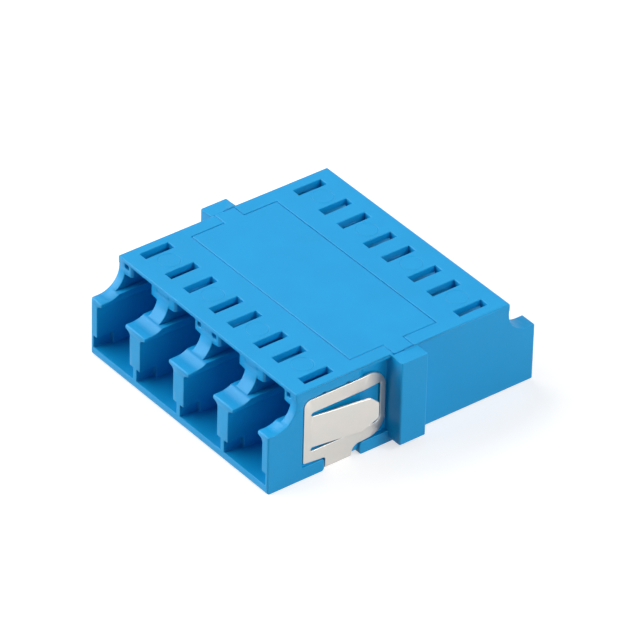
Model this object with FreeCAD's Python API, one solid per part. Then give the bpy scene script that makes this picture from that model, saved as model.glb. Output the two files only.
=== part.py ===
"""Four-port LC fibre adapter with a reduced flange, for a panel cut-out.

X runs across the ports, Y runs along the fibres and Z is up. The origin is under the
middle of the adapter, on the plane of its underside. The half at -Y is the clip half,
which goes through the panel; the panel then rests on the front faces of the ears.
All sizes are in millimetres.
"""
import FreeCAD, Part
import math
import os

V = FreeCAD.Vector

# ---- Ports: the plug's channel, its rails and its latch pocket ----
PORT_PITCH = 6.25            # duplex spacing of the LC plug
PORT_COUNT = 4               # ports on each side, made in pairs
PORT_WIDTH = 4.75            # channel for the 4.52 mm square plug
PORT_HEIGHT = 4.55           # floor to the rails, at the channel's side faces
FERRULE_HEIGHT = 2.33        # ferrule axis above the floor
RAIL_GAP = 3.5               # between the two rails that hold the plug down
RAIL_THICKNESS = 0.9         # at the wall
RAIL_TIP_RISE = 0.2          # the underside of a rail climbs this much to its tip
RAIL_FILLET = 0.4            # under the rail, along the wall
LATCH_WIDTH = 4.65           # pocket above the rails for the latch and its lugs
LATCH_ROOM = 2.2             # from the rails up to the top plate
MOUTH_RELIEF_WIDTH = 0.5     # undercut at the foot of each wall, per side
MOUTH_RELIEF_HEIGHT = 1.25
MOUTH_RELIEF_DEPTH = 1.8

# ---- Shell ----
FLOOR = 0.85
TOP_PLATE = 0.7
CLIP_SIDE_WALL = 0.85        # beside the outer ports of the clip half
PLAIN_SIDE_WALL = 1.05       # the same on the plain half
MOUTH_REACH = 2.9            # walls and floor run this far past the top plate
MOUTH_SWEEP_RADIUS = 2.2     # hollow sweep from the top plate's edge to the wall tops
MOUTH_RUN_DROP = 0.35        # top of the walls at the mouth, below the rails' top
TOP_EDGE_OVERHANG = 0.05     # the top plate's edge stands proud of the walls
TOP_EDGE_THICKNESS = 0.35    # the plate thins to this at its edge
TOP_EDGE_BEVEL = 0.9         # length of that bevel
END_RADIUS = 0.15            # round on the wall tips
FOOT_RADIUS = 0.3            # round under both ends
CORNER_RADIUS = 0.15         # upright corners of the shell
SHOULDER_RADIUS = 0.15       # edges between the top and the sides
PLAIN_FOOT_CHAMFER = 0.3     # edges between the plain half's underside and its sides

# ---- Latch catches and their core slots ----
CATCH_FACE = 9.8             # catch faces from the middle of the adapter
CATCH_LENGTH = 1.5
CATCH_GAP = 2.6              # between the two catches of a port
CATCH_DROP = 0.75            # below the top plate, at the free edge
CATCH_SLOPE = 0.15           # the underside falls this much towards the wall
CATCH_CORNER = 0.12
CATCH_LEAD = 0.2             # upright chamfer on the front of the free edge
CATCH_CORE_LIP = 0.3         # wall left beside the core in every other catch
CATCH_CORE_FLOOR = 0.5       # and under it
CATCH_CORE_ROOF = 0.1        # and over it, up to the edge of the top plate
CATCH_CORE_CHAMFER = 0.12    # corners of that hole
CATCH_CORE_DEPTH = 0.8
CATCH_ROOT = 0.05            # how deep the catches and ribs run into what carries them
SLOT_LENGTH = 3.05
SLOT_WIDTH = 0.96
SLOT_INSET = 0.05            # slot's inner side behind the catch's free edge

# ---- Ears ----
EAR_REACH = 1.6              # beyond the side of the clip half
EAR_THICKNESS = 2.8
EAR_TOP_DROP = 0.1           # below the top of the shell
EAR_FOOT_RISE = 0.6          # above the underside of the shell
EAR_RADIUS = 0.15

# ---- Split sleeves and their holders ----
SLEEVE_BORE = 1.246
SLEEVE_WALL = 0.187
SLEEVE_LENGTH = 6.8
SLEEVE_SLIT = 0.35
SLEEVE_FLOAT = 0.06          # radial room for the sleeve in its holder
SLEEVE_END_PLAY = 0.05
BARREL_WALL = 0.55
BARREL_LIP_LENGTH = 1.15     # a funnel that stops the sleeve from leaving its barrel
BARREL_LIP_BORE = 1.42       # at the sleeve's end
BARREL_MOUTH_BORE = 2.22     # at the barrel's mouth
HOLDER_HALF_THICKNESS = 1.5  # plate of one half, from the joint face
HOLDER_MARGIN = 0.35         # plate beyond the barrels, per side
HOLDER_CLEARANCE = 0.05
PEG_RADIUS = 0.4
PEG_LENGTH = 0.6
PEG_OFFSET = 1.0             # peg and socket each side of the pair's middle
PEG_RISE = 1.8               # above the ferrule axis
PEG_CLEARANCE = 0.05
GUIDE_LENGTH = 0.8           # guide ribs each side of the holder's plate
GUIDE_OVERLAP = 0.35         # how far they reach over the plate's ends

# ---- Cover plate ----
COVER_CLEARANCE = 0.05
WINDOW_END_ROOM = 0.05       # window past the barrels' ends
TONGUE_WIDTH = 2.2
TONGUE_END_REACH = 0.05      # tongues' slots past the side of the clip half

# ---- Panel clip ----
CLIP_THICKNESS = 0.2
CLIP_FIT = 0.05              # gap behind the wing and over the strap
CLIP_SINK = 0.03             # wing below the side of the shell
CLIP_FRONT_INSET = 0.9       # wing's front edge behind the top plate's edge
CLIP_REAR_GAP = 0.25         # wing's rear edge from the ear
CLIP_TOP_DROP = 1.2          # wing's top edge below the top of the shell
CLIP_FOOT = 1.35             # wing's lower edge above the underside
CLIP_FRONT_BAND = 0.75
CLIP_REAR_BAND = 0.55
CLIP_SIDE_BAND = 1.4         # upper band; the lower one is what the tongue leaves
CLIP_SLOT = 0.4              # beside the spring tongue
TONGUE_SPRING_HEIGHT = 3.2
TONGUE_SPRING_GAP = 1.0      # from the tongue's free end to the rear band
TONGUE_SPRING_LIFT = 0.95    # the free end stands out this far
TONGUE_SPRING_HIGH_CORNER = (0.8, 0.7)   # chamfers of its free end, along Y and Z
TONGUE_SPRING_LOW_CORNER = (1.6, 0.95)
TONGUE_CORNER_RADIUS = 0.3
CLIP_TUCK_LENGTH = 2.5       # rear of the wing that bends inwards
CLIP_TUCK = 0.22
CLIP_TOE_RISE = 0.25         # lower edge climbs this much to the front corner
WING_CORNER_RADII = (0.15, 0.25, 0.8, 1.6, 2.0, 0.6)   # from the low front corner round
WINDOW_REAR_RADII = (0.6, 0.3)           # low, then high
CLIP_STRAP_WIDTH = 2.8
CLIP_STRAP_OFFSET = 3.9      # near edge of the strap from the ear
CLIP_BEND = 0.45             # outer radius under the shell's corner
CLIP_REST_GAP = 0.05         # strap above the plane of the underside
RECESS_MARGIN = 0.12         # pocket around the wing
RECESS_CORNER = 0.7
STRAP_WAY_RADIUS = 0.3       # corners of the shell beside the strap's way down
NICK_RADIUS = 0.2            # two half-round nicks in the pocket's upper edge
NICK_PLACES = (2.0, 4.5)     # from the wing's front edge
STRAP_HEADROOM = 0.2         # channel above the strap
STRAP_SLOT_FRONT = 0.1       # strap channel beyond the strap, towards the mouth
STRAP_SLOT_REAR = 0.85       # and towards the ear
TUCK_RAMP_ROOM = 0.6         # pocket's ramp starts this far ahead of the wing's bend
TUCK_RAMP_LENGTH = 0.8
TUCK_POCKET_TOP = 0.35       # pocket's upper end below the top of the shell

# ---- Sizes that follow ----
PORTS = [(i - (PORT_COUNT - 1) / 2) * PORT_PITCH for i in range(PORT_COUNT)]
WALLS = [(i - PORT_COUNT / 2) * PORT_PITCH for i in range(PORT_COUNT + 1)]
PAIRS = [(PORTS[i] + PORTS[i + 1]) / 2 for i in range(0, PORT_COUNT, 2)]
OUTER_FACE = PORTS[-1] + PORT_WIDTH / 2
CLIP_SIDE = OUTER_FACE + CLIP_SIDE_WALL
PLAIN_SIDE = OUTER_FACE + PLAIN_SIDE_WALL
CHANNEL_TOP = FLOOR + PORT_HEIGHT
RAIL_TOP = CHANNEL_TOP + RAIL_THICKNESS
MOUTH_RUN = RAIL_TOP - MOUTH_RUN_DROP
PLATE_UNDER = RAIL_TOP + LATCH_ROOM
HEIGHT = PLATE_UNDER + TOP_PLATE
SWEEP_END = CATCH_FACE + CATCH_LENGTH
TOP_EDGE = SWEEP_END + TOP_EDGE_OVERHANG
HALF_LENGTH = TOP_EDGE + MOUTH_REACH
EAR_FACE = EAR_THICKNESS / 2
EAR_END = CLIP_SIDE + EAR_REACH
TONGUE_END_X = CLIP_SIDE + TONGUE_END_REACH
SLOT_OFFSET = CATCH_GAP / 2 + SLOT_INSET + SLOT_WIDTH / 2
PEG_HEIGHT = FLOOR + FERRULE_HEIGHT + PEG_RISE
CUT_PAST = 1.0               # cutters reach this far past the faces that they open
BORE_RADIUS = SLEEVE_BORE / 2 + SLEEVE_WALL + SLEEVE_FLOAT
BARREL_RADIUS = BORE_RADIUS + BARREL_WALL
SLEEVE_SEAT = SLEEVE_LENGTH / 2 + SLEEVE_END_PLAY
BARREL_END = SLEEVE_SEAT + BARREL_LIP_LENGTH
AXIS_HEIGHT = FLOOR + FERRULE_HEIGHT
HOLDER_HALF_WIDTH = PORT_PITCH / 2 + BARREL_RADIUS + HOLDER_MARGIN
HOLDER_SEAT = HOLDER_HALF_THICKNESS + HOLDER_CLEARANCE
WINDOW_X = PAIRS[-1] + HOLDER_HALF_WIDTH + HOLDER_CLEARANCE
WINDOW_Y = BARREL_END + WINDOW_END_ROOM


# ---- Drawing helpers ----
def block(x, y, z):
    """A box from three (low, high) pairs."""
    size = [high - low for low, high in (x, y, z)]
    return Part.makeBox(*size, V(x[0], y[0], z[0]))


def rod(radius, x, y, z):
    """A cylinder along Y over the (low, high) pair y, with its axis at x and z."""
    return Part.makeCylinder(radius, y[1] - y[0], V(x, y[0], z), V(0, 1, 0))


def outline(corners, place):
    """A closed wire through (u, v) or (u, v, radius) corners, each put in space by place."""
    points = [V(corner[0], corner[1], 0) for corner in corners]
    radii = [corner[2] if len(corner) > 2 else 0 for corner in corners]
    ends = []
    for i, corner in enumerate(points):
        back = points[i - 1] - corner
        ahead = points[(i + 1) % len(points)] - corner
        back.normalize()
        ahead.normalize()
        half_angle = back.getAngle(ahead) / 2
        run = radii[i] / math.tan(half_angle)
        to_centre = back + ahead
        if radii[i]:
            to_centre.normalize()
            reach = radii[i] / math.sin(half_angle) - radii[i]
            ends.append((corner + back * run, corner + to_centre * reach, corner + ahead * run))
        else:
            ends.append((corner, None, corner))
    edges = []
    for i, (start, middle, end) in enumerate(ends):
        if middle:
            edges.append(Part.Arc(*(place(p.x, p.y) for p in (start, middle, end))).toShape())
        following = ends[(i + 1) % len(ends)][0]
        if end.distanceToPoint(following) > 1e-6:
            edges.append(Part.makeLine(place(end.x, end.y), place(following.x, following.y)))
    return Part.Wire(edges)


def plan(corners, z):
    """An (x, y) outline raised over the (low, high) pair z."""
    face = Part.Face(outline(corners, lambda x, y: V(x, y, z[0])))
    return face.extrude(V(0, 0, z[1] - z[0]))


def front(corners, y):
    """An (x, z) outline drawn out along Y over the (low, high) pair y."""
    face = Part.Face(outline(corners, lambda x, height: V(x, y[0], height)))
    return face.extrude(V(0, y[1] - y[0], 0))


def side(corners, x):
    """A (y, z) outline drawn out along X over the (low, high) pair x."""
    face = Part.Face(outline(corners, lambda y, height: V(x[0], y, height)))
    return face.extrude(V(x[1] - x[0], 0, 0))


def mirrored_x(shape):
    return shape.mirror(V(0, 0, 0), V(1, 0, 0))


def mirrored_y(shape):
    return shape.mirror(V(0, 0, 0), V(0, 1, 0))


def both_ways(shapes, mirrored):
    return shapes + [mirrored(shape) for shape in shapes]


# ---- Housing ----
def cross_section(reach, chamfer):
    """The shell seen along the fibres: rounded shoulders and a chamfered or square foot."""
    foot = [(reach - chamfer, 0), (reach, chamfer)] if chamfer else [(reach, 0)]
    right = foot + [(reach, HEIGHT, SHOULDER_RADIUS)]
    left = [(-corner[0],) + corner[1:] for corner in reversed(right)]
    return front(right + left, (-HALF_LENGTH, HALF_LENGTH))


def shell_blank():
    """The outside: plan corners crossed with the side profile and its swept mouths."""
    clip_half = plan([(-CLIP_SIDE, -HALF_LENGTH, CORNER_RADIUS),
                      (CLIP_SIDE, -HALF_LENGTH, CORNER_RADIUS),
                      (CLIP_SIDE, 0), (-CLIP_SIDE, 0)], (0, HEIGHT))
    clip_half = clip_half.common(cross_section(CLIP_SIDE, 0))
    plain_half = plan([(-PLAIN_SIDE, 0), (PLAIN_SIDE, 0),
                       (PLAIN_SIDE, HALF_LENGTH, CORNER_RADIUS),
                       (-PLAIN_SIDE, HALF_LENGTH, CORNER_RADIUS)], (0, HEIGHT))
    plain_half = plain_half.common(cross_section(PLAIN_SIDE, PLAIN_FOOT_CHAMFER))
    half_profile = [(HALF_LENGTH, 0, FOOT_RADIUS),
                    (HALF_LENGTH, MOUTH_RUN, END_RADIUS),
                    (SWEEP_END, MOUTH_RUN, MOUTH_SWEEP_RADIUS),
                    (SWEEP_END, PLATE_UNDER),
                    (TOP_EDGE, PLATE_UNDER),
                    (TOP_EDGE, HEIGHT)]
    other_half = [(-corner[0],) + corner[1:] for corner in reversed(half_profile)]
    profile = side(half_profile + other_half, (-EAR_END, EAR_END))
    ears = []
    for reach in (-EAR_END, EAR_END):
        ears.append(plan([(0, -EAR_FACE), (reach, -EAR_FACE, EAR_RADIUS),
                          (reach, EAR_FACE, EAR_RADIUS), (0, EAR_FACE)],
                         (EAR_FOOT_RISE, HEIGHT - EAR_TOP_DROP)))
    return clip_half.fuse(plain_half).common(profile).fuse(ears)


def port_space(x):
    """The room inside one port, from beyond its mouth to the sleeve holder's plate."""
    channel = PORT_WIDTH / 2
    gap = RAIL_GAP / 2
    latch = LATCH_WIDTH / 2
    tip = CHANNEL_TOP + RAIL_TIP_RISE
    right = [(channel, FLOOR), (channel, CHANNEL_TOP, RAIL_FILLET),
             (gap, tip), (gap, RAIL_TOP), (latch, RAIL_TOP), (latch, PLATE_UNDER)]
    corners = [(x + corner[0],) + corner[1:] for corner in right]
    corners += [(x - corner[0],) + corner[1:] for corner in reversed(right)]
    beyond = -HALF_LENGTH - CUT_PAST
    room = front(corners, (beyond, -HOLDER_SEAT))
    relief = channel + MOUTH_RELIEF_WIDTH
    foot = block((x - relief, x + relief), (beyond, -HALF_LENGTH + MOUTH_RELIEF_DEPTH),
                 (FLOOR, FLOOR + MOUTH_RELIEF_HEIGHT))
    edge_under = HEIGHT - TOP_EDGE_THICKNESS
    bevel = side([(beyond, RAIL_TOP), (-TOP_EDGE + TOP_EDGE_BEVEL, RAIL_TOP),
                  (-TOP_EDGE + TOP_EDGE_BEVEL, PLATE_UNDER), (-TOP_EDGE, edge_under),
                  (beyond, edge_under)], (x - latch, x + latch))
    return [room, foot, bevel]


def cut_corners(near, far, low, high, chamfer):
    """Corners of an upright rectangle whose own corners are cut off."""
    step = math.copysign(chamfer, far - near)
    return [(near, low + chamfer), (near + step, low), (far - step, low), (far, low + chamfer),
            (far, high - chamfer), (far - step, high), (near + step, high),
            (near, high - chamfer)]


def catch(wall, towards, cored):
    """One latch catch: it hangs from the top plate beside a wall and holds the plug's lug.

    towards is +1 for a catch that faces the port on the wall's +X side. A cored catch has a
    hole with cut corners in its front face, beside the wall.
    """
    wall_face = (PORT_PITCH - LATCH_WIDTH) / 2
    root = wall_face - CATCH_ROOT
    free = (PORT_PITCH - CATCH_GAP) / 2
    under = PLATE_UNDER - CATCH_DROP
    top = HEIGHT - TOP_EDGE_THICKNESS
    corners = [(root, top), (free, top), (free, under, CATCH_CORNER),
               (root, under - CATCH_SLOPE)]
    shape = front([(wall + towards * c[0],) + c[1:] for c in corners],
                  (-SWEEP_END, -CATCH_FACE))
    free_x = wall + towards * free
    shape = shape.cut(plan([(free_x - towards * CATCH_LEAD, -SWEEP_END),
                            (free_x, -SWEEP_END), (free_x, -SWEEP_END + CATCH_LEAD)],
                           (under - CATCH_SLOPE, top)))
    if cored:
        near_x = wall + towards * wall_face
        far_x = free_x - towards * (CATCH_LEAD + CATCH_CORE_LIP)
        low = under + CATCH_CORE_FLOOR
        high = top - CATCH_CORE_ROOF
        shape = shape.cut(front(cut_corners(near_x, far_x, low, high, CATCH_CORE_CHAMFER),
                                (-SWEEP_END, -SWEEP_END + CATCH_CORE_DEPTH)))
    return shape


def slot(x):
    half = SLOT_WIDTH / 2
    return block((x - half, x + half), (-CATCH_FACE, -CATCH_FACE + SLOT_LENGTH),
                 (RAIL_TOP, HEIGHT + CUT_PAST))


def guide_ribs():
    """Upright ribs each side of the holder plates' ends, on the side walls and middle wall."""
    y = (-HOLDER_SEAT - GUIDE_LENGTH, -HOLDER_SEAT)
    z = (FLOOR, PLATE_UNDER)
    ribs = []
    for pair in PAIRS:
        reach = HOLDER_HALF_WIDTH - GUIDE_OVERLAP
        ribs.append(block((pair - PORT_PITCH, pair - reach), y, z))
        ribs.append(block((pair + reach, pair + PORT_PITCH), y, z))
    return ribs


def holder_pocket(pair):
    reach = HOLDER_HALF_WIDTH + HOLDER_CLEARANCE
    return block((pair - reach, pair + reach), (-HOLDER_SEAT, HOLDER_SEAT), (FLOOR, PLATE_UNDER))


def cover_window():
    z = (PLATE_UNDER, HEIGHT + CUT_PAST)
    half = TONGUE_WIDTH / 2
    return [block((-WINDOW_X, WINDOW_X), (-WINDOW_Y, WINDOW_Y), z),
            block((-TONGUE_END_X, TONGUE_END_X), (-half, half), z)]


# ---- Panel clip ----
WING_FACE = CLIP_SIDE - CLIP_SINK
WING_BACK = WING_FACE - CLIP_THICKNESS
WING_FRONT = -TOP_EDGE + CLIP_FRONT_INSET
WING_REAR = -EAR_FACE - CLIP_REAR_GAP
WING_BEND = WING_REAR - CLIP_TUCK_LENGTH
WING_TOP = HEIGHT - CLIP_TOP_DROP
STRAP_REAR = -EAR_FACE - CLIP_STRAP_OFFSET
STRAP_FRONT = STRAP_REAR - CLIP_STRAP_WIDTH
STRAP_UNDER = CLIP_REST_GAP
STRAP_OVER = STRAP_UNDER + CLIP_THICKNESS
TONGUE_HIGH = WING_TOP - CLIP_SIDE_BAND - CLIP_SLOT
TONGUE_LOW = TONGUE_HIGH - TONGUE_SPRING_HEIGHT
TONGUE_ROOT = WING_FRONT + CLIP_FRONT_BAND
TONGUE_BEND = TONGUE_ROOT + CLIP_SLOT / 2
TONGUE_END = WING_REAR - CLIP_REAR_BAND - TONGUE_SPRING_GAP


def bent_sheet(path, thickness, z):
    """Sheet metal on edge: path is its outer face as (x, y) points, its metal towards -X."""
    inner = []
    for i, (x, y) in enumerate(path):
        near = path[max(i - 1, 0)]
        far = path[min(i + 1, len(path) - 1)]
        lean = (math.atan2(near[0] - x, y - near[1]) if i else None,
                math.atan2(x - far[0], far[1] - y) if i < len(path) - 1 else None)
        angles = [a for a in lean if a is not None]
        mean = sum(angles) / len(angles)
        reach = thickness / math.cos((angles[0] - angles[-1]) / 2)
        inner.append((x - reach * math.cos(mean), y - reach * math.sin(mean)))
    return plan(path + inner[::-1], z)


def clip_wing():
    """The +X wing: a framed plate with a sprung tongue, whose rear end tucks inwards."""
    z = (0, HEIGHT)
    frame_path = [(WING_FACE, WING_FRONT), (WING_FACE, WING_BEND),
                  (WING_FACE - CLIP_TUCK, WING_REAR)]
    band_middle = WING_FRONT + CLIP_FRONT_BAND / 2
    tongue_path = [(WING_FACE, band_middle), (WING_FACE, TONGUE_BEND),
                   (WING_FACE + TONGUE_SPRING_LIFT, TONGUE_END)]
    x = (0, EAR_END)
    bend_top = STRAP_UNDER + CLIP_BEND
    toe, neck_front, neck_rear, low_rear, high_rear, high_front = WING_CORNER_RADII
    frame_outline = side([(WING_FRONT, CLIP_FOOT + CLIP_TOE_RISE, toe),
                          (STRAP_FRONT, CLIP_FOOT, neck_front), (STRAP_FRONT, bend_top),
                          (STRAP_REAR, bend_top), (STRAP_REAR, CLIP_FOOT, neck_rear),
                          (WING_REAR, CLIP_FOOT, low_rear), (WING_REAR, WING_TOP, high_rear),
                          (WING_FRONT, WING_TOP, high_front)], x)
    window_rear = WING_REAR - CLIP_REAR_BAND
    window_low, window_high = WINDOW_REAR_RADII
    round_end = CLIP_SLOT / 2
    window = side([(TONGUE_ROOT, TONGUE_LOW - CLIP_SLOT, round_end),
                   (window_rear, TONGUE_LOW - CLIP_SLOT, window_low),
                   (window_rear, TONGUE_HIGH + CLIP_SLOT, window_high),
                   (TONGUE_ROOT, TONGUE_HIGH + CLIP_SLOT, round_end),
                   (TONGUE_ROOT, TONGUE_HIGH, round_end), (TONGUE_BEND, TONGUE_HIGH),
                   (TONGUE_BEND, TONGUE_LOW), (TONGUE_ROOT, TONGUE_LOW, round_end)], x)
    low_y, low_z = TONGUE_SPRING_LOW_CORNER
    high_y, high_z = TONGUE_SPRING_HIGH_CORNER
    tongue_outline = side([(band_middle, TONGUE_LOW),
                           (TONGUE_END - low_y, TONGUE_LOW, TONGUE_CORNER_RADIUS),
                           (TONGUE_END, TONGUE_LOW + low_z, TONGUE_CORNER_RADIUS),
                           (TONGUE_END, TONGUE_HIGH - high_z, TONGUE_CORNER_RADIUS),
                           (TONGUE_END - high_y, TONGUE_HIGH, TONGUE_CORNER_RADIUS),
                           (band_middle, TONGUE_HIGH)], x)
    frame = bent_sheet(frame_path, CLIP_THICKNESS, z).common(frame_outline).cut(window)
    tongue = bent_sheet(tongue_path, CLIP_THICKNESS, z).common(tongue_outline)
    return frame.fuse(tongue)


def clip_strap():
    """The strip under the shell, with the two bends that carry the wings."""
    top = CLIP_BEND + STRAP_UNDER
    inner_bend = CLIP_BEND - CLIP_THICKNESS
    return front([(-WING_FACE, top), (-WING_FACE, STRAP_UNDER, CLIP_BEND),
                  (WING_FACE, STRAP_UNDER, CLIP_BEND), (WING_FACE, top), (WING_BACK, top),
                  (WING_BACK, STRAP_OVER, inner_bend), (-WING_BACK, STRAP_OVER, inner_bend),
                  (-WING_BACK, top)], (STRAP_FRONT, STRAP_REAR))


def panel_clip():
    wing = clip_wing()
    return clip_strap().fuse([wing, mirrored_x(wing)]).removeSplitter()


def strap_way(top, top_radius):
    """Corners (y, z) of the strap's room, open downwards, with the lower edges rounded."""
    mouth_side = STRAP_FRONT - STRAP_SLOT_FRONT
    ear_side = STRAP_REAR + STRAP_SLOT_REAR
    flare = 2 * STRAP_WAY_RADIUS
    return [(mouth_side, top, top_radius), (mouth_side, 0, STRAP_WAY_RADIUS),
            (mouth_side - flare, 0), (mouth_side - flare, -CUT_PAST),
            (ear_side + flare, -CUT_PAST), (ear_side + flare, 0),
            (ear_side, 0, STRAP_WAY_RADIUS), (ear_side, top, top_radius)]


def clip_recess():
    """What the clip takes out of the +X side: its pocket with the strap's way, and the tuck."""
    floor = WING_BACK - CLIP_FIT
    out = CLIP_SIDE + CUT_PAST
    low = CLIP_FOOT - RECESS_MARGIN
    high = WING_TOP + RECESS_MARGIN
    mouth_side = WING_FRONT - RECESS_MARGIN
    pocket = side([(mouth_side, high, RECESS_CORNER), (mouth_side, low)]
                  + strap_way(low, STRAP_WAY_RADIUS)
                  + [(-EAR_FACE, low), (-EAR_FACE, high)], (floor, out))
    ramp_start = WING_BEND - TUCK_RAMP_ROOM
    ramp_end = ramp_start + TUCK_RAMP_LENGTH
    deep = floor - CLIP_TUCK
    tuck = plan([(CLIP_SIDE, ramp_start), (deep, ramp_end), (deep, -EAR_FACE),
                 (out, -EAR_FACE), (out, ramp_start)], (low, HEIGHT - TUCK_POCKET_TOP))
    nicks = []
    for place in NICK_PLACES:
        centre = V(floor, WING_FRONT + place, high)
        nicks.append(Part.makeCylinder(NICK_RADIUS, out - floor, centre, V(1, 0, 0)))
    return [pocket, tuck] + nicks


def strap_channel():
    return side(strap_way(STRAP_OVER + STRAP_HEADROOM, 0), (-EAR_END, EAR_END))


def housing():
    shape = shell_blank()
    rooms = []
    slots = []
    for x in PORTS:
        rooms += port_space(x)
        slots += [slot(x - SLOT_OFFSET), slot(x + SLOT_OFFSET)]
    shape = shape.cut(both_ways(rooms, mirrored_y))
    catches = []
    for number, wall in enumerate(WALLS):
        cored = number % 2 == 0
        if number < PORT_COUNT:
            catches.append(catch(wall, 1, cored))
        if number > 0:
            catches.append(catch(wall, -1, cored))
    shape = shape.fuse(both_ways(catches + guide_ribs(), mirrored_y))
    cuts = both_ways(slots, mirrored_y) + [holder_pocket(pair) for pair in PAIRS]
    cuts += cover_window() + both_ways(clip_recess(), mirrored_x) + [strap_channel()]
    return shape.cut(cuts).removeSplitter()


# ---- Cover plate ----
def cover_plate():
    x = WINDOW_X - COVER_CLEARANCE
    y = WINDOW_Y - COVER_CLEARANCE
    tongue_x = TONGUE_END_X - COVER_CLEARANCE
    tongue_y = TONGUE_WIDTH / 2 - COVER_CLEARANCE
    corners = []
    for sx, sy in ((1, -1), (1, 1), (-1, 1), (-1, -1)):
        quarter = [(sx * x, sy * y), (sx * x, sy * tongue_y), (sx * tongue_x, sy * tongue_y)]
        corners += quarter if sx * sy < 0 else quarter[::-1]
    return plan(corners, (PLATE_UNDER, HEIGHT))


# ---- Sleeve holders and sleeves ----
def holder_half(pair):
    """The -Y half of one pair's holder; the other half is the same moulding turned about."""
    plate = block((pair - HOLDER_HALF_WIDTH, pair + HOLDER_HALF_WIDTH),
                  (-HOLDER_HALF_THICKNESS, 0), (FLOOR, PLATE_UNDER - HOLDER_CLEARANCE))
    peg = rod(PEG_RADIUS, pair + PEG_OFFSET, (-PEG_RADIUS, PEG_LENGTH), PEG_HEIGHT)
    socket = rod(PEG_RADIUS + PEG_CLEARANCE, pair - PEG_OFFSET,
                 (-PEG_LENGTH - PEG_CLEARANCE, CUT_PAST), PEG_HEIGHT)
    barrels = []
    bores = [socket]
    for x in (pair - PORT_PITCH / 2, pair + PORT_PITCH / 2):
        barrels.append(rod(BARREL_RADIUS, x, (-BARREL_END, 0), AXIS_HEIGHT))
        bores.append(rod(BORE_RADIUS, x, (-SLEEVE_SEAT, CUT_PAST), AXIS_HEIGHT))
        bores.append(Part.makeCone(BARREL_MOUTH_BORE / 2, BARREL_LIP_BORE / 2,
                                   BARREL_LIP_LENGTH, V(x, -BARREL_END, AXIS_HEIGHT),
                                   V(0, 1, 0)))
    return plate.fuse([peg] + barrels).cut(bores).removeSplitter()


def sleeve(x):
    outer = SLEEVE_BORE / 2 + SLEEVE_WALL
    y = (-SLEEVE_LENGTH / 2, SLEEVE_LENGTH / 2)
    tube = rod(outer, x, y, AXIS_HEIGHT).cut(rod(SLEEVE_BORE / 2, x, y, AXIS_HEIGHT))
    slit = block((x - SLEEVE_SLIT / 2, x + SLEEVE_SLIT / 2), y,
                 (AXIS_HEIGHT, AXIS_HEIGHT + outer + CUT_PAST))
    return tube.cut(slit)


# ---- Assembly ----
parts = {"housing": housing(), "cover_plate": cover_plate(), "panel_clip": panel_clip()}
for number, pair in enumerate(PAIRS, 1):
    half = holder_half(pair)
    parts[f"sleeve_holder_{number}_front"] = half
    turned = half.copy()
    turned.rotate(V(pair, 0, 0), V(0, 0, 1), 180)
    parts[f"sleeve_holder_{number}_rear"] = turned
for number, x in enumerate(PORTS, 1):
    parts[f"alignment_sleeve_{number}"] = sleeve(x)

os.makedirs("parts", exist_ok=True)
for name, shape in parts.items():
    shape.exportStep(f"parts/{name}.step")
    box = shape.BoundBox
    print(f"{name}: {len(shape.Solids)} solid, {shape.Volume:.2f} mm3, valid {shape.isValid()}, "
          f"x {box.XMin:.2f} {box.XMax:.2f} y {box.YMin:.2f} {box.YMax:.2f} "
          f"z {box.ZMin:.2f} {box.ZMax:.2f}")
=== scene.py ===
"""Four-port LC fibre adapter: the looks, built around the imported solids.

Metres throughout. X runs across the ports, Y along the fibres and Z up from the underside;
the half at -Y carries the steel panel clip.
"""
import math

import bmesh
import bpy
from mathutils import Matrix, Vector


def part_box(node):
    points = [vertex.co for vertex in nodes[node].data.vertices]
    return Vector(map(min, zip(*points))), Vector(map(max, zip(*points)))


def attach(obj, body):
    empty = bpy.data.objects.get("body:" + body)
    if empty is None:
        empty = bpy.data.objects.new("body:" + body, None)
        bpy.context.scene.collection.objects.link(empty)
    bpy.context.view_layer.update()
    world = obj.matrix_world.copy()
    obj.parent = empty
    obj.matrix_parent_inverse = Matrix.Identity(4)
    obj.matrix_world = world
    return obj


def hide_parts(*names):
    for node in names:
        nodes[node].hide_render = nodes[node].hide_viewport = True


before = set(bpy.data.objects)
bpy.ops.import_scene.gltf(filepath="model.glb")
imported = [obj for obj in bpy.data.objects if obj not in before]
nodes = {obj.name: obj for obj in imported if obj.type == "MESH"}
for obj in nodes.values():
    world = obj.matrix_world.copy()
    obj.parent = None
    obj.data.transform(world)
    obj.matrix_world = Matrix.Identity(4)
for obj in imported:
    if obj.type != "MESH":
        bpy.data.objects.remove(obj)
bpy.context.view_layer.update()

scene = bpy.context.scene

# ---- Camera ------------------------------------------------------------------------------
# A long lens above and to the right of the clip half, aimed at the middle of the top face.
CAMERA_AZIMUTH = math.radians(51.569)
CAMERA_ELEVATION = math.radians(35.450)
CAMERA_ROLL = math.radians(1.532)
CAMERA_DISTANCE = 0.546096
CAMERA_LENS_MM = 359.558
CAMERA_SENSOR_MM = 36.0
CAMERA_ASIDE = (0.000613, -0.003512)    # camera's offset right and up of the line to its aim

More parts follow.
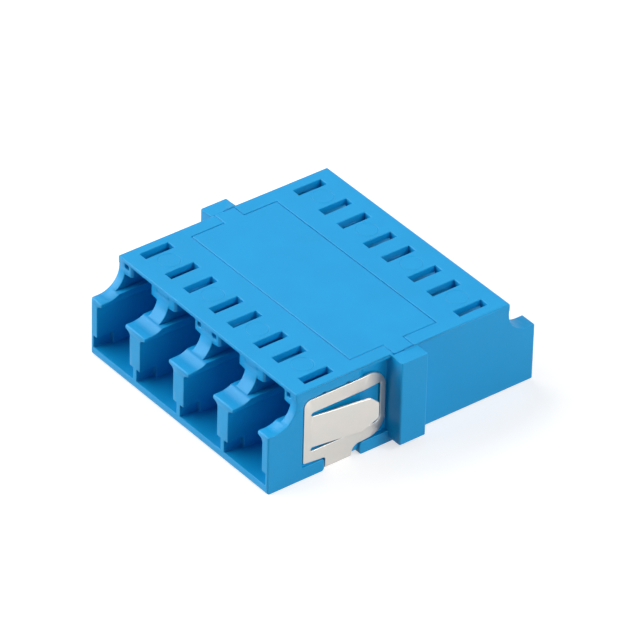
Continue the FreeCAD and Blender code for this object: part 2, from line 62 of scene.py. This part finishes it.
housing_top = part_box("housing")[1][2]
aim = Vector((0.0, 0.0, housing_top))
back = Vector((math.sin(CAMERA_AZIMUTH) * math.cos(CAMERA_ELEVATION),
               -math.cos(CAMERA_AZIMUTH) * math.cos(CAMERA_ELEVATION),
               math.sin(CAMERA_ELEVATION)))
level = Vector((math.cos(CAMERA_AZIMUTH), math.sin(CAMERA_AZIMUTH), 0.0))
upright = back.cross(level)
right = level * math.cos(CAMERA_ROLL) + upright * math.sin(CAMERA_ROLL)
up = upright * math.cos(CAMERA_ROLL) - level * math.sin(CAMERA_ROLL)
camera = bpy.data.objects.new("camera", bpy.data.cameras.new("camera"))
camera.data.lens = CAMERA_LENS_MM
camera.data.sensor_width = CAMERA_SENSOR_MM
turn = Matrix((right, up, back)).transposed().to_4x4()
place = aim + back * CAMERA_DISTANCE + right * CAMERA_ASIDE[0] + up * CAMERA_ASIDE[1]
camera.matrix_world = Matrix.Translation(place) @ turn
scene.collection.objects.link(camera)
scene.camera = camera

# ---- Housing -----------------------------------------------------------------------------
# One moulding in blue PBT: floor, walls, rails, catches and the two ears of the flange.
# Its edges come out of the mould very slightly rounded, and its skin has a fine spark grain.
SHELL_COLOURS = ((0.0028, 0.282, 0.597), (0.0032, 0.318, 0.673))
SHELL_ROUGHNESS = (0.34, 0.42)
SHELL_SPECULAR = 0.28
GRAIN_SIZE = 0.00009
GRAIN_DEPTH = 0.0000035
GRAIN_DETAIL = 3.0                      # octaves of noise in every fine grain
CLOUD_SIZE = 0.0038                     # length over which a colour drifts
EDGE_RADIUS = 0.00006
EDGE_SEGMENTS = 2
EDGE_ANGLE = math.radians(32)
CREASE_ANGLE = math.radians(60)         # what is left sharper than this shows as a crease
WELD_DISTANCE = 1e-6
FLAT_ANGLE = math.radians(0.2)          # triangles that bend less than this join into one face
PIN_COUNT = 4                           # ejector pins over the ports, in each half
PIN_PITCH = 0.00625
PIN_REACH = 0.0083                      # from the middle of the adapter to each row of pins
PIN_RADIUS = 0.001
PIN_SIDES = 40
PIN_LINE = 0.00009
PIN_DEPTH = 0.000015


def surface(name, colours, roughness, grain, depth, stretch=(1.0, 1.0, 1.0), cloud=CLOUD_SIZE,
            metallic=0.0, ior=1.5, specular=0.5):
    """A material whose fine grain drives its relief and gloss, its colour drifting slowly."""
    material = bpy.data.materials.new(name)
    material.use_nodes = True
    tree = material.node_tree
    link = tree.links.new
    shader = tree.nodes["Principled BSDF"]
    shader.inputs["Metallic"].default_value = metallic
    shader.inputs["IOR"].default_value = ior
    shader.inputs["Specular IOR Level"].default_value = specular
    coordinates = tree.nodes.new("ShaderNodeTexCoord")
    drawn = tree.nodes.new("ShaderNodeMapping")
    drawn.inputs["Scale"].default_value = stretch
    link(coordinates.outputs["Object"], drawn.inputs["Vector"])
    fine = tree.nodes.new("ShaderNodeTexNoise")
    fine.inputs["Scale"].default_value = 1.0 / grain
    fine.inputs["Detail"].default_value = GRAIN_DETAIL
    link(drawn.outputs["Vector"], fine.inputs["Vector"])
    relief = tree.nodes.new("ShaderNodeBump")
    relief.inputs["Distance"].default_value = depth
    link(fine.outputs["Fac"], relief.inputs["Height"])
    link(relief.outputs["Normal"], shader.inputs["Normal"])
    gloss = tree.nodes.new("ShaderNodeMapRange")
    gloss.inputs["To Min"].default_value = roughness[0]
    gloss.inputs["To Max"].default_value = roughness[1]
    link(fine.outputs["Fac"], gloss.inputs["Value"])
    link(gloss.outputs["Result"], shader.inputs["Roughness"])
    slow = tree.nodes.new("ShaderNodeTexNoise")
    slow.inputs["Scale"].default_value = 1.0 / cloud
    link(coordinates.outputs["Object"], slow.inputs["Vector"])
    tint = tree.nodes.new("ShaderNodeMix")
    tint.data_type = "RGBA"
    tint.inputs["A"].default_value = (*colours[0], 1.0)
    tint.inputs["B"].default_value = (*colours[1], 1.0)
    link(slow.outputs["Fac"], tint.inputs["Factor"])
    link(tint.outputs["Result"], shader.inputs["Base Color"])
    return material


def welded(node):
    """A copy of a CAD node's mesh with its loose triangles joined into flat faces."""
    mesh = bmesh.new()
    mesh.from_mesh(nodes[node].data)
    bmesh.ops.remove_doubles(mesh, verts=mesh.verts, dist=WELD_DISTANCE)
    bmesh.ops.dissolve_limit(mesh, angle_limit=FLAT_ANGLE, verts=mesh.verts, edges=mesh.edges)
    bmesh.ops.connect_verts_concave(mesh, faces=mesh.faces)
    data = bpy.data.meshes.new(node)
    mesh.to_mesh(data)
    mesh.free()
    return data


def pin_marks(top):
    """Rings to cut in the face at height top: the faint outlines of the ejector pins' ends."""
    tree = bpy.data.node_groups.new("ejector_pin_marks", "GeometryNodeTree")
    sizes = {"Pitch": PIN_PITCH, "Reach": PIN_REACH, "Top": top, "Radius": PIN_RADIUS,
             "Width": PIN_LINE, "Depth": PIN_DEPTH}
    sockets = {}
    for label, size in sizes.items():
        socket = tree.interface.new_socket(label, in_out="INPUT", socket_type="NodeSocketFloat")
        sockets[label] = (socket.identifier, size)
    tree.interface.new_socket("Rings", in_out="OUTPUT", socket_type="NodeSocketGeometry")
    given = tree.nodes.new("NodeGroupInput")
    link = tree.links.new

    def times(label, factor):
        """One of the group's sizes times a number."""
        node = tree.nodes.new("ShaderNodeMath")
        node.operation = "MULTIPLY"
        link(given.outputs[label], node.inputs[0])
        node.inputs[1].default_value = factor
        return node.outputs["Value"]

    rows = tree.nodes.new("GeometryNodeJoinGeometry")
    first = times("Pitch", (1 - PIN_COUNT) / 2)
    for side in (-1, 1):
        start = tree.nodes.new("ShaderNodeCombineXYZ")
        link(first, start.inputs["X"])
        link(times("Reach", side), start.inputs["Y"])
        link(given.outputs["Top"], start.inputs["Z"])
        step = tree.nodes.new("ShaderNodeCombineXYZ")
        link(given.outputs["Pitch"], step.inputs["X"])
        row = tree.nodes.new("GeometryNodeMeshLine")
        row.inputs["Count"].default_value = PIN_COUNT
        link(start.outputs["Vector"], row.inputs["Start Location"])
        link(step.outputs["Vector"], row.inputs["Offset"])
        link(row.outputs["Mesh"], rows.inputs["Geometry"])
    circle = tree.nodes.new("GeometryNodeCurvePrimitiveCircle")
    circle.inputs["Resolution"].default_value = PIN_SIDES
    link(given.outputs["Radius"], circle.inputs["Radius"])
    section = tree.nodes.new("GeometryNodeCurvePrimitiveQuadrilateral")
    link(given.outputs["Width"], section.inputs["Width"])
    link(times("Depth", 2), section.inputs["Height"])
    ring = tree.nodes.new("GeometryNodeCurveToMesh")
    link(circle.outputs["Curve"], ring.inputs["Curve"])
    link(section.outputs["Curve"], ring.inputs["Profile Curve"])
    spread = tree.nodes.new("GeometryNodeInstanceOnPoints")
    link(rows.outputs["Geometry"], spread.inputs["Points"])
    link(ring.outputs["Mesh"], spread.inputs["Instance"])
    real = tree.nodes.new("GeometryNodeRealizeInstances")
    link(spread.outputs["Instances"], real.inputs["Geometry"])
    finish = tree.nodes.new("GeometryNodeSetMaterial")
    finish.inputs["Material"].default_value = shell_plastic
    link(real.outputs["Geometry"], finish.inputs["Geometry"])
    result = tree.nodes.new("NodeGroupOutput")
    link(finish.outputs["Geometry"], result.inputs["Rings"])
    holder = bpy.data.objects.new("pin_rings", bpy.data.meshes.new("pin_rings"))
    scene.collection.objects.link(holder)
    maker = holder.modifiers.new("rings", "NODES")
    maker.node_group = tree
    for identifier, size in sockets.values():
        maker[identifier] = size
    bpy.context.view_layer.update()
    view = bpy.context.evaluated_depsgraph_get()
    rings = bpy.data.meshes.new_from_object(holder.evaluated_get(view))
    holder.modifiers.clear()
    holder.data = rings
    return holder


def finish_piece(name, node, material, radius, marks=None):
    """Put a welded copy with its sharp edges rounded in the place of a CAD node."""
    piece = bpy.data.objects.new(name, welded(node))
    scene.collection.objects.link(piece)
    edges = piece.modifiers.new("edges", "BEVEL")
    edges.width = radius
    edges.segments = EDGE_SEGMENTS
    edges.limit_method = "ANGLE"
    edges.angle_limit = EDGE_ANGLE
    edges.use_clamp_overlap = False
    edges.loop_slide = False
    if marks:
        cut = piece.modifiers.new("marks", "BOOLEAN")
        cut.object = marks
        cut.solver = "EXACT"
    piece.data.shade_smooth()
    piece.data.set_sharp_from_angle(angle=CREASE_ANGLE)
    weights = piece.modifiers.new("flats", "WEIGHTED_NORMAL")
    weights.keep_sharp = True
    bpy.context.view_layer.update()
    view = bpy.context.evaluated_depsgraph_get()
    data = bpy.data.meshes.new_from_object(piece.evaluated_get(view))
    piece.modifiers.clear()
    piece.data = data
    data.name = name
    low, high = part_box(node)
    for vertex in data.vertices:        # a rounded corner may overshoot where chamfers meet
        vertex.co = [min(max(c, a), b) for c, a, b in zip(vertex.co, low, high)]
    data.materials.clear()
    data.materials.append(material)
    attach(piece, "root")
    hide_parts(node)


shell_plastic = surface("moulded_blue", SHELL_COLOURS, SHELL_ROUGHNESS, GRAIN_SIZE, GRAIN_DEPTH,
                        specular=SHELL_SPECULAR)
pin_rings = pin_marks(housing_top)
finish_piece("housing_moulding", "housing", shell_plastic, EDGE_RADIUS, pin_rings)
bpy.data.objects.remove(pin_rings)

# ---- Sleeve holders ----------------------------------------------------------------------
# Two pairs of half holders in the same blue, pegged face to face inside the housing. Their
# barrels stand at the back of each port.
holder_plastic = surface("moulded_blue_inner", SHELL_COLOURS, SHELL_ROUGHNESS, GRAIN_SIZE,
                         GRAIN_DEPTH, specular=SHELL_SPECULAR)
for node in sorted(name for name in nodes if name.startswith("sleeve_holder")):
    finish_piece(node + "_moulding", node, holder_plastic, EDGE_RADIUS)

# ---- Alignment sleeves -------------------------------------------------------------------
# Thin split tubes of ground zirconia, one for each pair of opposite ports. They lie loose in
# the holders' barrels and grip the two ferrules.
ZIRCONIA_COLOURS = ((0.82, 0.79, 0.73), (0.88, 0.86, 0.81))
ZIRCONIA_ROUGHNESS = (0.22, 0.38)
ZIRCONIA_IOR = 2.15
GRIND_SIZE = 0.00012                    # grinding lines, drawn out round the tube
GRIND_STRETCH = (0.2, 1.0, 0.2)
GRIND_DEPTH = 0.0000008
zirconia = surface("ground_zirconia", ZIRCONIA_COLOURS, ZIRCONIA_ROUGHNESS, GRIND_SIZE,
                   GRIND_DEPTH, GRIND_STRETCH, ior=ZIRCONIA_IOR)
for node in sorted(name for name in nodes if name.startswith("alignment")):
    nodes[node].data.materials.clear()
    nodes[node].data.materials.append(zirconia)

# ---- Cover plate -------------------------------------------------------------------------
# A flat plate in the same blue plastic that closes the window over the holders. It is welded
# in by its edges, with a tab at each end over the flange.
COVER_EDGE = 0.0001
finish_piece("cover_moulding", "cover_plate", shell_plastic, COVER_EDGE)

# ---- Panel clip --------------------------------------------------------------------------
# One strip of thin stainless spring steel, blanked and bent round the underside. Its wings
# lie in pockets of the side walls, each with a sprung tongue.
STEEL_COLOURS = ((0.645, 0.594, 0.558), (0.583, 0.589, 0.558))
STEEL_ROUGHNESS = (0.36, 0.50)
STAIN_SIZE = 0.0016                     # slight heat colours across the strip
ROLL_SIZE = 0.00035                     # rolling lines, drawn out along the strip
ROLL_STRETCH = (1.0, 6.0, 1.0)
ROLL_DEPTH = 0.0000012
CLIP_EDGE = 0.00003
steel = surface("rolled_stainless", STEEL_COLOURS, STEEL_ROUGHNESS, ROLL_SIZE, ROLL_DEPTH,
                ROLL_STRETCH, STAIN_SIZE, metallic=1.0)
finish_piece("clip_strip", "panel_clip", steel, CLIP_EDGE)

# ---- Floor and light ---------------------------------------------------------------------
# A white table top in a white room, lit by four softboxes: one high on the left, one low on
# the left, one low on the right and a small one behind the right-hand edges.
FLOOR_SIZE = 1.6
FLOOR_GAP = 0.00002                     # keeps the table's face off the underside's
FLOOR_GREY = 0.5
FLOOR_ROUGHNESS = 0.9
FLOOR_LIFT = 0.62                       # what the camera and mirrors see on top of the lit floor
ROOM_FILL = 0.055                       # what the white room throws back on the adapter
LAMP_DISTANCE = 0.7
LAMPS = (                               # name, azimuth, elevation, width and radiance
    ("high_left", -91.0, 52.0, 0.34, 3.9),
    ("low_left", -43.0, 28.0, 0.80, 3.8),
    ("low_right", 108.0, 24.0, 0.66, 2.35),
    ("back_right", 131.0, 42.0, 0.26, 6.4),
)


def shown(tree):
    """1 where the camera, a mirror or glass looks, and 0 for light falling on something."""
    rays = tree.nodes.new("ShaderNodeLightPath")
    total = rays.outputs["Is Camera Ray"]
    for kind in ("Is Glossy Ray", "Is Transmission Ray"):
        both = tree.nodes.new("ShaderNodeMath")
        both.operation = "ADD"
        both.use_clamp = True
        tree.links.new(total, both.inputs[0])
        tree.links.new(rays.outputs[kind], both.inputs[1])
        total = both.outputs["Value"]
    return total


half = FLOOR_SIZE / 2
corners = [(-half, -half), (half, -half), (half, half), (-half, half)]
top = bpy.data.meshes.new("table")
top.from_pydata([(x, y, -FLOOR_GAP) for x, y in corners], [], [(0, 1, 2, 3)])
table = bpy.data.objects.new("table", top)
scene.collection.objects.link(table)
white = bpy.data.materials.new("white_table")
white.use_nodes = True
tree = white.node_tree
shader = tree.nodes["Principled BSDF"]
shader.inputs["Base Color"].default_value = (FLOOR_GREY, FLOOR_GREY, FLOOR_GREY, 1.0)
shader.inputs["Roughness"].default_value = FLOOR_ROUGHNESS
shader.inputs["Specular IOR Level"].default_value = 0.0
shader.inputs["Emission Color"].default_value = (1.0, 1.0, 1.0, 1.0)
lift = tree.nodes.new("ShaderNodeMath")
lift.operation = "MULTIPLY"
lift.inputs[1].default_value = FLOOR_LIFT
tree.links.new(shown(tree), lift.inputs[0])
tree.links.new(lift.outputs["Value"], shader.inputs["Emission Strength"])
top.materials.append(white)


def softbox(name, azimuth, elevation, width, radiance):
    """A square lamp aimed at the adapter, placed by its angles round it as the camera is."""
    a, e = math.radians(azimuth), math.radians(elevation)
    place = Vector((math.sin(a) * math.cos(e), -math.cos(a) * math.cos(e), math.sin(e)))
    lamp = bpy.data.lights.new(name, "AREA")
    lamp.size = width
    lamp.energy = radiance * math.pi * width * width
    light = bpy.data.objects.new(name, lamp)
    light.matrix_world = (Matrix.Translation(place * LAMP_DISTANCE)
                          @ place.to_track_quat("Z", "Y").to_matrix().to_4x4())
    scene.collection.objects.link(light)


for lamp in LAMPS:
    softbox(*lamp)
room = bpy.data.worlds.new("white_room")
room.use_nodes = True
tree = room.node_tree
backdrop = tree.nodes["Background"]
backdrop.inputs["Color"].default_value = (1.0, 1.0, 1.0, 1.0)
glow = tree.nodes.new("ShaderNodeMapRange")
glow.inputs["To Min"].default_value = ROOM_FILL
tree.links.new(shown(tree), glow.inputs["Value"])
tree.links.new(glow.outputs["Result"], backdrop.inputs["Strength"])
scene.world = room

scene.view_settings.view_transform = "Standard"
